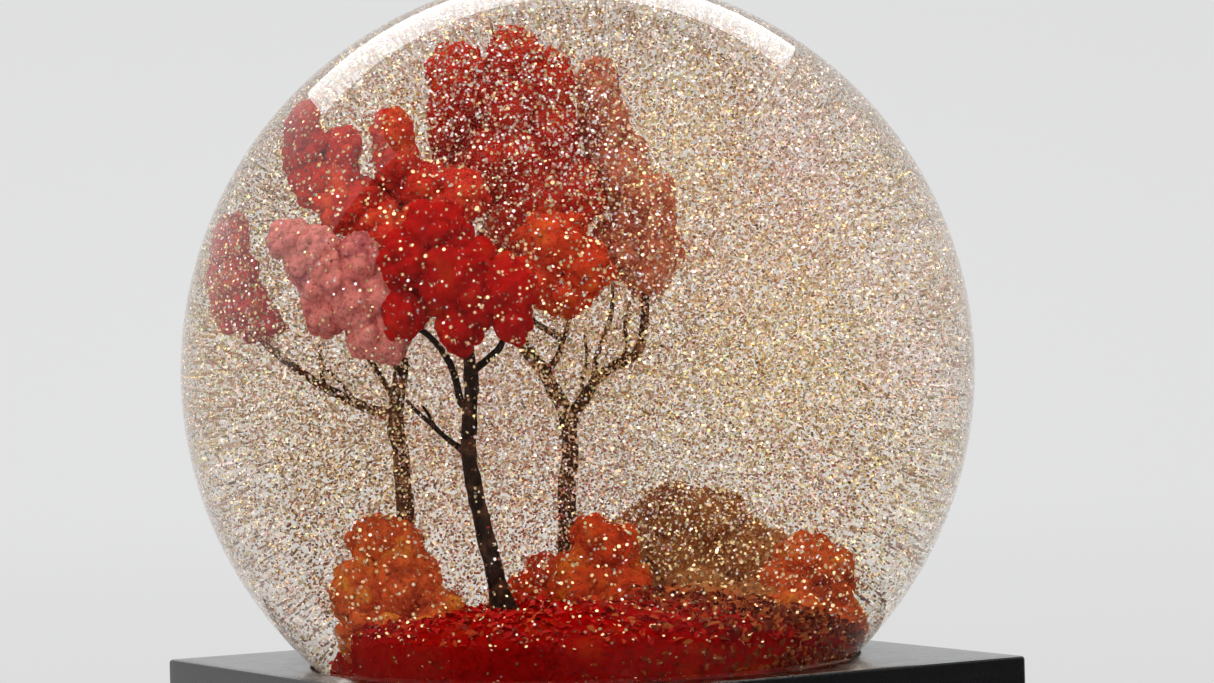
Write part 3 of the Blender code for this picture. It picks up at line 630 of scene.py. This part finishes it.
def limb_shape(points, start_r, end_r, rooted, seed):
    """A limb: rings square to its path, thinner towards its tip, thick at a collar where it leaves the
    trunk, or flared at the root, and furrowed along its length."""
    path = smooth_path(points, 0.32)
    ahead = unit(np.gradient(path, axis=0))
    general = path[-1] - path[0]
    across = np.cross(general, (0.31, 0.22, 0.93) if abs(general[2]) < np.linalg.norm(general) * 0.8
                      else (0.9, 0.4, 0.1))
    side = unit(across - ahead * (ahead @ across)[:, None])
    other = np.cross(side, ahead)
    sides = 22 if rooted else 12
    angle = np.linspace(0, 2 * np.pi, sides, endpoint=False)
    length = np.concatenate([[0], np.cumsum(np.linalg.norm(np.diff(path, axis=0), axis=1))])
    share = length / length[-1]
    radius = start_r + (end_r - start_r) * share
    if rooted:
        above = np.clip((path[:, 2] - mound_height(path[0, 0], path[0, 1])) / 2.4, 0, None)
        radius = radius * (1 + 0.75 * np.exp(-above * 1.6))
        lobed = 0.22 * np.exp(-above)[:, None] * np.cos(5 * angle + seed)
    else:
        radius = radius * (1 + 0.5 * np.exp(-length / (1.6 * start_r)))
        lobed = 0
    circle = np.cos(angle)[None, :, None] * side[:, None] + np.sin(angle)[None, :, None] * other[:, None]
    rows = path[:, None] + circle * radius[:, None, None]
    furrow = smooth_noise(rows * (1, 1, 0.4), 0.55, seed) * 0.1 + smooth_noise(rows, 1.5, seed + 3) * 0.12
    rows = path[:, None] + circle * (radius[:, None] * (1 + furrow + lobed))[..., None]
    return skin(rows, path[0] - ahead[0] * start_r * 0.3, path[-1] + ahead[-1] * end_r * 1.5)


def unit_ball(rows, around):
    """A ball of radius 1: rows of points between its two poles."""
    angle = np.linspace(0, 2 * np.pi, around, endpoint=False)
    polar = np.linspace(0, np.pi, rows + 2)[1:-1, None]
    rings = about_z(np.sin(polar), angle, np.cos(polar))
    return skin(rings, np.array([0, 0, 1.0]), np.array([0, 0, -1.0]))


def spread_directions(count):
    """Directions spread evenly over a sphere, each a golden angle on from the last."""
    step = np.arange(count) + 0.5
    polar, around = np.arccos(1 - 2 * step / count), step * math.pi * (1 + math.sqrt(5))
    return np.stack([np.sin(polar) * np.cos(around), np.sin(polar) * np.sin(around), np.cos(polar)], axis=-1)


def with_knobs(lobes, seed):
    """The lobes and, standing out of each one's surface, KNOBS smaller ones of changing size."""
    lobes = np.asarray(lobes, float)
    centre, radii = lobes[:, None, :3], lobes[:, None, 3:]
    directions = spread_directions(KNOBS)[None]
    place = centre + directions * radii * 0.72
    size = 0.2 + 0.2 * cell_number(np.floor(place * 10), seed)[..., None]
    knobs = np.concatenate([place, np.repeat(radii, KNOBS, axis=1) * size], axis=-1)
    return np.vstack([lobes * (1, 1, 1, 0.88, 0.88, 0.88), knobs.reshape(-1, 6)])


def crown_shape(name, lobes, crumb, fineness):
    """A clump: balls for its lobes and knobs, one voxel skin round them all, and crumbs raised along
    the skin's normals."""
    seed = sum(ord(letter) for letter in name)
    points, faces = unit_ball(9, 14)
    balls = with_knobs(lobes, seed)
    everything = joined([(points * ball[3:] + ball[:3], faces) for ball in balls])
    mesh = bpy.data.meshes.new("clump_core")
    fill_mesh(mesh, *everything)
    core = bpy.data.objects.new("clump_core", mesh)
    bpy.context.scene.collection.objects.link(core)
    remesh = core.modifiers.new("Skin", "REMESH")
    remesh.mode = "VOXEL"
    remesh.voxel_size = fineness * MM
    bpy.context.view_layer.update()
    skinned = bpy.data.meshes.new_from_object(core.evaluated_get(bpy.context.evaluated_depsgraph_get()))
    bpy.data.objects.remove(core)
    place, normal = read_surface(skinned).astype(float)
    place = place / MM
    corners = np.empty(len(skinned.loops), np.int32)
    skinned.loops.foreach_get("vertex_index", corners)
    starts = np.empty(len(skinned.polygons), np.int32)
    skinned.polygons.foreach_get("loop_start", starts)
    sizes = np.diff(np.append(starts, len(corners)))
    faces = [corners[starts[sizes == n][:, None] + np.arange(n)] for n in (3, 4) if (sizes == n).any()]
    bpy.data.meshes.remove(skinned)
    heap = sum(share * crumbs(place, crumb * size, seed + number)
               for number, (share, size) in enumerate(((0.45, 1.6), (0.35, 0.85), (0.2, 0.45))))
    place = place + normal * ((heap - 0.45) * crumb * 1.1)[:, None]
    return (place, faces), heap


def strewn(angle, share, lift):
    """Places on the leaf bed, each lifted off it along its normal, and those normals. Shares above 1 lie
    on the bed's upright side."""
    reach = mound_reach(angle) * np.minimum(share, 1)
    x, y = reach * np.cos(angle), reach * np.sin(angle)
    slope = np.stack([mound_height(x - 0.2, y) - mound_height(x + 0.2, y),
                      mound_height(x, y - 0.2) - mound_height(x, y + 0.2), np.full(len(x), 0.4)], axis=-1)
    normals = np.where(share[:, None] > 1, about_z(1, angle, 0), unit(slope))
    z = mound_height(x, y) - MOUND_R * np.maximum(share - 1, 0)
    return np.stack([x, y, z], axis=-1) + normals * (lift * np.where(share > 1, 0.4, 1))[:, None], normals


def leaf_shapes(centres, normals, sizes, rng):
    """Fallen leaves: each a pointed oval of two by three faces, cupped along its middle, and turned
    at random about the ground's normal, with some tilt."""
    across, along = np.meshgrid((-1, 0, 1), np.linspace(-1, 1, 4))
    width = 0.55 * np.cos(along * 1.35)
    flat = np.stack([across * width, along, 0.35 * np.abs(across) * width - 0.18 * along**2], axis=-1)
    flat = flat.reshape(-1, 3)
    here = np.arange(12).reshape(4, 3)
    faces = np.stack([here[:-1, :-1], here[:-1, 1:], here[1:, 1:], here[1:, :-1]], axis=-1).reshape(-1, 4)
    up = unit(normals + rng.normal(0, 0.45, normals.shape))
    side = unit(np.cross(up, rng.normal(0, 1, up.shape)))
    basis = np.stack([side, np.cross(up, side), up], axis=1)
    points = centres[:, None] + np.einsum("vi,nij->nvj", flat, basis) * sizes[:, None, None]
    start = np.arange(len(centres))[:, None, None] * len(flat)
    return points.reshape(-1, 3), [(faces[None] + start).reshape(-1, 4)]


def flake_shapes(centres, up, size):
    """Glitter: a flat hexagon at each centre, square to its `up` direction."""
    up = unit(up)
    side = unit(np.cross(up, np.roll(up, 1, axis=1) + (0.3, 0.1, 0.7)))
    other = np.cross(up, side)
    angle = np.arange(6) * math.pi / 3
    spokes = np.cos(angle)[None, :, None] * side[:, None] + np.sin(angle)[None, :, None] * other[:, None]
    points = centres[:, None] + spokes * (size / 2)[:, None, None]
    return points.reshape(-1, 3), [np.arange(len(points) * 6).reshape(-1, 6)]


# Operators --------------------------------------------------------------------------------------------


class GLOBE_OT_glass(bpy.types.Operator):
    """Blown glass ball with its neck and rolled lip, wet on the inside down to the stopper"""

    bl_idname = "globe.glass"
    bl_label = "Glass ball"

    def execute(self, context):
        settings = context.scene.globe_glass
        inner_r, inner_neck = BALL_R - settings.wall, NECK_R - settings.wall
        outer_end = 180 - math.degrees(math.asin(NECK_R / BALL_R))
        inner_end = 180 - math.degrees(math.asin(inner_neck / inner_r))
        lip = arc(LIP_R, NECK_R + 0.1, LIP_Z, 40, 200, 14)
        neck = [(NECK_R + 0.25, 28.2), (NECK_R, 27.2), (NECK_R, 24.6), (NECK_R + 0.3, 23.4)]
        outline = np.vstack([arc(BALL_R, 0, BALL_Z, 0, outer_end, 104), neck, lip,
                             [(inner_neck, LIP_Z - 0.4), (inner_neck, 24), (inner_neck, 27)],
                             arc(inner_r, 0, BALL_Z, inner_end, 0, 100)])
        shape = turned(outline, 192)
        dry = clear_material("clear_glass", settings.glass_ior)
        wet = clear_material("wetted_glass", settings.glass_ior / settings.liquid_ior)
        ball = new_piece("glass_ball", shape, (dry, wet), "globe", ("glass_globe",), sharp=50)
        mesh = ball.data
        centre = np.empty(len(mesh.polygons) * 3, np.float32)
        mesh.polygons.foreach_get("center", centre)
        centre = centre.reshape(-1, 3) / MM
        reach = np.linalg.norm(centre - (0, 0, BALL_Z), axis=1)
        wetted = (reach < inner_r + 0.3) & (centre[:, 2] > STOPPER_TOP)
        mesh.polygons.foreach_set("material_index", wetted.astype(np.int32))
        return {"FINISHED"}


class GLOBE_OT_liquid(bpy.types.Operator):
    """The liquid's surface, just inside the glass. The bend of light where they meet is on the glass"""

    bl_idname = "globe.liquid"
    bl_label = "Liquid"

    def execute(self, context):
        radius = BALL_R - context.scene.globe_glass.wall - 0.05
        floor = STOPPER_TOP + 0.4 - BALL_Z
        end = math.degrees(math.acos(floor / radius))
        outline = np.vstack([arc(radius, 0, BALL_Z, 0, end, 96), [(0, BALL_Z + floor)]])
        water = clear_material("clear_liquid", 1.0, (1.0, 0.95, 0.885))
        new_piece("liquid_fill", turned(outline, 160), (water,), "swirl", ("liquid",),
                  sharp=50)
        return {"FINISHED"}


class GLOBE_OT_base(bpy.types.Operator):
    """Square lacquered block with softened edges, and the felt, stopper and seals hidden in it"""

    bl_idname = "globe.base"
    bl_label = "Base"

    def execute(self, context):
        settings = context.scene.globe_base
        half, ease = BASE_HIGH.x, settings.ease
        bottom, top = BASE_LOW.z, BASE_HIGH.z

        def square(inset, z):
            """A square ring with round corners: straight runs of even steps, then a quarter circle."""
            corner = max(ease - inset, 0.05)
            middle = half - inset - corner
            run = np.linspace(-1, 1, 40, endpoint=False) * middle
            turn = np.linspace(0, np.pi / 2, 8, endpoint=False)
            x = np.concatenate([np.full(40, half - inset), middle + corner * np.cos(turn)])
            y = np.concatenate([run, middle + corner * np.sin(turn)])
            ring = np.vstack([np.stack(pair, 1) for pair in ((x, y), (-y, x), (-x, -y), (y, -x))])
            return np.column_stack([ring, np.full(len(ring), z)])

        bearing = np.arctan2(*square(ease, 0)[:, 1::-1].T)

        def circle(radius, z):
            """A ring at the same bearings as the square's points."""
            return about_z(radius, bearing, z)

        rise = np.linspace(0, np.pi / 2, 6)
        rows = [circle(BORE_R, top - 0.3), circle(BORE_R + 0.1, top - 0.08), circle(BORE_R + 0.3, top)]
        rows += [circle(BORE_R + 0.3, top) * (1 - s) + square(ease, top) * s for s in (0.3, 0.6, 0.85)]
        rows += [square(ease * (1 - math.sin(a)), top - ease * (1 - math.cos(a))) for a in rise]
        rows += [square(0, z) for z in np.linspace(top - ease, bottom + ease, 8)[1:-1]]
        rows += [square(ease * (1 - math.cos(a)), bottom + ease * (1 - math.sin(a))) for a in rise]
        rows += [circle(ACCESS_R, bottom), circle(ACCESS_R, LEDGE_Z), circle(BORE_R, LEDGE_Z)]
        shape = skin(np.stack(rows), ring=True)
        new_piece("lacquered_base", shape, (lacquer_material(settings),), "globe",
                  ("base_block",), sharp=25)
        finishes = {
            "felt_pad": felt_material(),
            "rubber_stopper": moulded_material("stopper_rubber", (0.035, 0.034, 0.033), 0.65, 0.85, 1.2),
            "filler_plug": moulded_material("plug_plastic", (0.75, 0.73, 0.68), 0.3, 0.5, 0.8),
            "sealant_bead": moulded_material("sealant", (0.80, 0.80, 0.78), 0.35, 0.5, 2.5),
            "globe_bond": moulded_material("clear_adhesive", (0.62, 0.60, 0.55), 0.2, 0.4, 3.0),
        }
        for node, material in finishes.items():
            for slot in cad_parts[node].material_slots:
                slot.material = material
        return {"FINISHED"}


def caught(piece, count, rng):
    """Places just off a piece's surface, and directions near its normals, for flakes that settled on it."""
    place, normal = read_surface(piece.data)
    place = place / MM
    chosen = rng.integers(0, len(place), count)
    return place[chosen] + normal[chosen] * 0.22, normal[chosen] + rng.normal(0, 0.45, (count, 3))


def settle(name, found, rng, flake):
    """One piece of the flakes that settled, from the places and directions that caught() found."""
    centres, up = (np.vstack(column) for column in zip(*found))
    inside = np.linalg.norm(centres - (0, 0, BALL_Z), axis=1) < BALL_R - 3
    centres, up = centres[inside], up[inside]
    gold = glint_material(name, (1.0, 0.76, 0.42), 0.32)
    shape = flake_shapes(centres, up, flake * rng.uniform(1.1, 1.9, len(centres)))
    new_piece(name, shape, (gold,), "globe", smooth=False)


class GLOBE_OT_ground(bpy.types.Operator):
    """Mound covered with leaf litter, and loose leaves on it"""

    bl_idname = "globe.ground"
    bl_label = "Leafy ground"

    def execute(self, context):
        settings = context.scene.globe_figure
        (points, faces), heights = ground_shape()
        litter = flock_material("leaf_bed", settings.ground)
        bed = new_piece("leafy_mound", (to_row(points), faces), (litter,), "globe",
                        ("ground_mound",), heights=heights)
        rng = np.random.default_rng(31)
        count, brown = settings.leaves, settings.litter
        layers = (
            (rng.uniform(0, 2 * np.pi, count), np.sqrt(rng.uniform(0, 0.985, count)),
             rng.uniform(0.35, 0.95, count),
             {"crimson": settings.deep_red, "rust": settings.orange_red,
              "maroon": shaded(settings.red, 0.4)}),
            (rng.normal(-0.3, 0.45, brown), np.sqrt(rng.uniform(0.08, 1.26, brown)),
             rng.uniform(0.6, 2.4, brown), {"umber": settings.umber, "ochre": settings.ochre}))
        found = [caught(bed, 700, rng)]
        for angle, share, lift, tones in layers:
            centres, normals = strewn(angle, share, lift)
            sizes = rng.uniform(0.45, 0.95, len(angle)) * np.where(share > 1, 0.6, 0.9)
            kinds = rng.choice(len(tones), len(angle), p=(0.6, 0.25, 0.15) if len(tones) == 3 else None)
            for kind, (tone, colour) in enumerate(tones.items()):
                mine = kinds == kind
                points, faces = leaf_shapes(centres[mine], normals[mine], sizes[mine], rng)
                leaf = Painter("leaf_" + tone, Base_Color=(*colour, 1), Roughness=0.6, Specular_IOR_Level=0.1)
                strewing = new_piece("fallen_leaves_" + tone, (to_row(points), faces), (leaf.material,),
                                     "globe")
                found.append(caught(strewing, 150, rng))
        found.append(self.heap_round_mound(6000, rng))
        settle("settled_on_ground", found, rng, context.scene.globe_glitter.flake)
        return {"FINISHED"}

    def heap_round_mound(self, count, rng):
        """Places and directions of the flakes that lie on the stopper and the glass round the leaf bed,
        deepest in its bay."""
        inner_r, outer_r = 27, 39
        angle, reach = rng.uniform(0, 2 * np.pi, count), rng.uniform(inner_r, outer_r, count)
        in_bay = 3.2 * np.exp(-(((angle - FIGURE_TURN - np.pi) / 0.5) ** 2))
        height = ((reach - inner_r) / 4 + in_bay) * rng.uniform(0, 1, count) ** 2
        clear = reach > mound_reach(angle - FIGURE_TURN) + 0.4
        heap = about_z(reach, angle, STOPPER_TOP + 0.8 + height)[clear]
        return heap, np.array([0, 0, 1]) + rng.normal(0, 0.4, heap.shape)


class GLOBE_OT_trees(bpy.types.Operator):
    """The three trunks with their limbs"""

    bl_idname = "globe.trees"
    bl_label = "Trees"

    def execute(self, context):
        settings = context.scene.globe_figure
        dark = bark_material("bark_dark", tuple(settings.dark_bark))
        brown = bark_material("bark_brown", tuple(settings.bark))
        rng, found = np.random.default_rng(17), []
        for number, (name, limbs) in enumerate(TREES.items()):
            bark, flakes = (dark, 110) if name == "front_tree_trunk" else (brown, 420)
            points, faces = joined([limb_shape(*limb, rooted=i == 0, seed=number * 40 + i * 4)
                                    for i, limb in enumerate(limbs)])
            wood = new_piece(name.replace("trunk", "wood"), (to_row(points), faces), (bark,), "globe",
                             (name,))
            found.append(caught(wood, flakes, rng))
        settle("settled_on_wood", found, rng, context.scene.globe_glitter.flake * 0.8)
        return {"FINISHED"}


class GLOBE_OT_foliage(bpy.types.Operator):
    """Crowns and shrubs of flock crumbs, with the glitter that has settled on them"""

    bl_idname = "globe.foliage"
    bl_label = "Foliage"

    def execute(self, context):
        settings, glitter = context.scene.globe_figure, context.scene.globe_glitter
        rng, found = np.random.default_rng(glitter.seed + 100), []
        for name, (slot, tone, lobes) in CROWNS.items():
            (points, faces), heap = crown_shape(name, lobes, settings.crumb, settings.fineness)
            flock = flock_material(f"flock_{name}", tuple(getattr(settings, tone)))
            clump = new_piece(name + "_flock", (to_row(points), faces), (flock,), "globe", (name,),
                              heights=heap)
            share = 0.35 if name.startswith("front") else 1
            found.append(caught(clump, int(share * glitter.settled * len(heap) / 9000), rng))
        settle("settled_on_foliage", found, rng, glitter.flake)
        return {"FINISHED"}


class GLOBE_OT_glitter(bpy.types.Operator):
    """Drifting glitter: flakes all through the liquid, sparser at the front and clear of the foliage"""

    bl_idname = "globe.glitter"
    bl_label = "Glitter"

    def execute(self, context):
        settings = context.scene.globe_glitter
        rng = np.random.default_rng(settings.seed)
        inner_r = BALL_R - context.scene.globe_glass.wall - 0.5
        centres = self.free_places(settings.count, inner_r, rng)
        up = rng.normal(0, 1, centres.shape)
        near = np.interp(centres[:, 1], (-12, 8), (1.35, 1.0))
        size = settings.flake * near * rng.uniform(0.7, 1.2, len(centres))
        kinds = self.films(centres, rng)
        edge_r, edge_z = np.array(POCKET).T
        pocket = np.interp(centres[:, 2], edge_z, edge_r)
        reach = np.hypot(centres[:, 0], centres[:, 1])
        among, around = reach < pocket - 0.4, reach > pocket + 0.4
        for kind, (name, (_, roughness)) in enumerate(FILMS.items()):
            film = glint_material("glitter_" + name, tuple(getattr(settings, name)), roughness)
            for place, chosen, body in (("drift", around, "swirl"), ("trees", among, "globe")):
                mine = (kinds == kind) & chosen
                shape = flake_shapes(to_row(centres[mine]), up[mine], size[mine])
                new_piece(f"glitter_{name}_{place}", shape, (film,), body, smooth=False)
        return {"FINISHED"}

    def free_places(self, count, inner_r, rng):
        """Places in the liquid, off the ground and the foliage, fewer towards the front and the bottom."""
        tries = rng.uniform(-inner_r, inner_r, (count * 4, 3))
        tries = tries[np.linalg.norm(tries, axis=1) < inner_r]
        x, y, z = tries.T
        over_mound = np.hypot(x, y) < MOUND_R + 1
        free = z > np.where(over_mound, mound_height(x, y) + 1.3, STOPPER_TOP + 1.2 - BALL_Z)
        for lobe in np.array([lobe for _, _, clump in CROWNS.values() for lobe in clump]):
            free &= np.sum(((tries - lobe[:3]) / (lobe[3:] + 0.6)) ** 2, axis=1) > 1
        front = np.interp(y, (-30, -14, -6, 4), (0.04, 0.07, 0.35, 1.0))
        free &= rng.uniform(0, 1, len(tries)) < front * np.interp(z, (-26, -8), (0.55, 1))
        return tries[free][:count]

    def films(self, centres, rng):
        """Each flake's number in FILMS: the film with the largest sum of a patchy noise, chance and its
        share, so that one film's patches run into the next. The pale ones are commoner near the top."""
        paler = 0.9 * np.interp(centres[:, 2], (5, 40), (0, 1))
        sums = []
        for kind, (name, (share, _)) in enumerate(FILMS.items()):
            patches = 2.2 * smooth_noise(centres * (1, 0.4, 1), 12.0, 50 + kind)
            weight = patches + rng.gumbel(0, 1, len(centres)) + math.log(share)
            sums.append(weight + paler if name in ("pearl", "rose") else weight)
        return np.argmax(sums, axis=0)


class GLOBE_OT_stage(bpy.types.Operator):
    """Pale floor that curves up into a wall, soft light and the camera"""

    bl_idname = "globe.stage"
    bl_label = "Stage"

    def execute(self, context):
        settings = context.scene.globe_stage
        self.floor(settings)
        self.flag(settings)
        self.light(context, settings)
        self.camera(context, settings)
        return {"FINISHED"}

    def floor(self, settings):
        """A round, softly lit floor whose edge curves up into a wall all round."""
        wall_r, curve_r, height = 2400, 1200, 3100
        curve = arc(curve_r, wall_r - curve_r, curve_r, 90, 180, 24)
        outline = np.vstack([[(wall_r, height)], curve, [(0, 0)]])
        points, faces = turned(outline, 128)
        glow = (settings.wall_light,) * 3
        pale = Painter("pale_floor", Base_Color=(0.12, 0.12, 0.12, 1), Specular_IOR_Level=0.0, Roughness=1.0,
                       Emission_Color=(*glow, 1), Emission_Strength=1.0)
        self.stand("floor", points, [face[:, ::-1] for face in faces], pale.material)

    def flag(self, settings):
        """A black flag that only reflections see: a part of a sphere round the camera's side, and a half
        disc laid on the floor."""
        reach = 1300
        away = np.radians(np.linspace(0, settings.flag_width, 40)[1:, None])
        around = np.linspace(0, 2 * np.pi, 96, endpoint=False)
        bearing = FIGURE_TURN - math.pi / 2
        ahead = np.array([math.cos(bearing), math.sin(bearing), 0])
        aside = np.array([-math.sin(bearing), math.cos(bearing), 0])
        rows = reach * (np.cos(away)[..., None] * ahead + (np.sin(away) * np.cos(around))[..., None] * aside
                        + (np.sin(away) * np.sin(around))[..., None] * (0, 0, 1))
        rows[..., 2] = np.maximum(rows[..., 2] + BALL_Z, 2)
        turn = np.radians(np.linspace(-90, 90, 49)) + bearing
        laid = np.vstack([(0, 0, 0), about_z(reach, turn, 0)]) + (0, 0, 1.5)
        fan = np.stack([np.zeros(48, int), np.arange(1, 49), np.arange(2, 50)], axis=-1)
        points, faces = joined([skin(rows, reach * ahead + (0, 0, BALL_Z)), (laid, [fan])])
        black = Painter("black_flag", Base_Color=(0.0, 0.0, 0.0, 1), Specular_IOR_Level=0.0, Roughness=1.0,
                        Emission_Color=(*(settings.flag_light,) * 3, 1), Emission_Strength=1.0)
        flag = self.stand("flag", points, faces, black.material)
        flag.visible_camera = flag.visible_diffuse = flag.visible_transmission = flag.visible_shadow = False

    def stand(self, name, points, faces, material):
        """Makes one of the stage's own things, which the export leaves out."""
        mesh = bpy.data.meshes.new(name)
        fill_mesh(mesh, points, faces)
        mesh.shade_smooth()
        mesh.materials.append(material)
        item = bpy.data.objects.new(name, mesh)
        bpy.context.scene.collection.objects.link(item)
        return item

    def light(self, context, settings):
        """An even sky, a large softbox that lies level above and behind the ball, and a fill lamp in
        front. Reflections don't see the sky and the fill, so that the glass stays clear."""
        world = bpy.data.worlds.new("even_sky")
        world.use_nodes = True
        background = world.node_tree.nodes["Background"]
        background.inputs["Color"].default_value = (1, 1, 1, 1)
        background.inputs["Strength"].default_value = settings.sky
        context.scene.world = world
        world.cycles_visibility.glossy = False
        softbox = self.lamp(context, "softbox", (1.36, 1.05), settings.softbox, (-0.09, 1.26, 0.8))
        softbox.rotation_euler = 0, 0, FIGURE_TURN
        softbox.data.color = 0.93, 0.96, 1.0
        fill = self.lamp(context, "fill", (1.3, 1.1), settings.fill, (-0.75, -0.95, 0.62))
        fill.rotation_euler = (fill.location - Vector((0, 0, BALL_Z * MM))).to_track_quat("Z", "Y").to_euler()
        fill.visible_glossy = False

    def lamp(self, context, name, size, power, place):
        """An area lamp of a size in metres, at a place right of, beyond and above the ball's middle."""
        light = bpy.data.lights.new(name, "AREA")
        light.shape = "RECTANGLE"
        light.size, light.size_y = size
        light.energy = power
        lamp = bpy.data.objects.new(name, light)
        aside, back, above = place
        c, s = math.cos(FIGURE_TURN), math.sin(FIGURE_TURN)
        lamp.location = c * aside - s * back, s * aside + c * back, BALL_Z * MM + above
        lamp.visible_camera = False
        context.scene.collection.objects.link(lamp)
        return lamp

    def camera(self, context, settings):
        """Level with the ball and a little above its middle, looking across the base's near corner."""
        lens = bpy.data.cameras.new("camera")
        lens.lens, lens.sensor_width, lens.clip_start = settings.lens, 36, 0.02
        camera = bpy.data.objects.new("camera", lens)
        rise = math.radians(0.97)
        bearing = math.radians(-30.67)
        level = math.cos(rise)
        away = Vector((math.sin(bearing) * level, -math.cos(bearing) * level, math.sin(rise)))
        camera.location = Vector((0, 0, BALL_Z * MM)) + away * settings.distance * MM
        camera.rotation_euler = Euler([math.radians(a) for a in (89.44, 1.513, -31.115)])
        context.scene.collection.objects.link(camera)
        context.scene.camera = camera
        context.scene.view_settings.view_transform = "Standard"


class GLOBE_PT_panel(bpy.types.Panel):
    """Lists the pieces and their settings"""

    bl_idname = "GLOBE_PT_panel"
    bl_label = "Water Globe"
    bl_space_type = "VIEW_3D"
    bl_region_type = "UI"
    bl_category = "Globe"

    def draw(self, context):
        for operator in OPERATORS:
            self.layout.operator(operator.bl_idname)
        for name, group in SETTINGS.items():
            box = self.layout.box()
            for setting in group.__annotations__:
                box.prop(getattr(context.scene, name), setting)


OPERATORS = (GLOBE_OT_stage, GLOBE_OT_base, GLOBE_OT_glass, GLOBE_OT_liquid, GLOBE_OT_ground, GLOBE_OT_trees,
             GLOBE_OT_foliage, GLOBE_OT_glitter)
CLASSES = (*SETTINGS.values(), *OPERATORS, GLOBE_PT_panel)


def register():
    for item in CLASSES:
        bpy.utils.register_class(item)
    for name, group in SETTINGS.items():
        setattr(bpy.types.Scene, name, PointerProperty(type=group))


def unregister():
    for name in SETTINGS:
        delattr(bpy.types.Scene, name)
    for item in reversed(CLASSES):
        bpy.utils.unregister_class(item)


def main():
    """Makes every piece in order."""
    register()
    bpy.ops.globe.stage()
    bpy.ops.globe.base()
    bpy.ops.globe.glass()
    bpy.ops.globe.liquid()
    bpy.ops.globe.ground()
    bpy.ops.globe.trees()
    bpy.ops.globe.foliage()
    bpy.ops.globe.glitter()


if __name__ == "__main__":
    main()
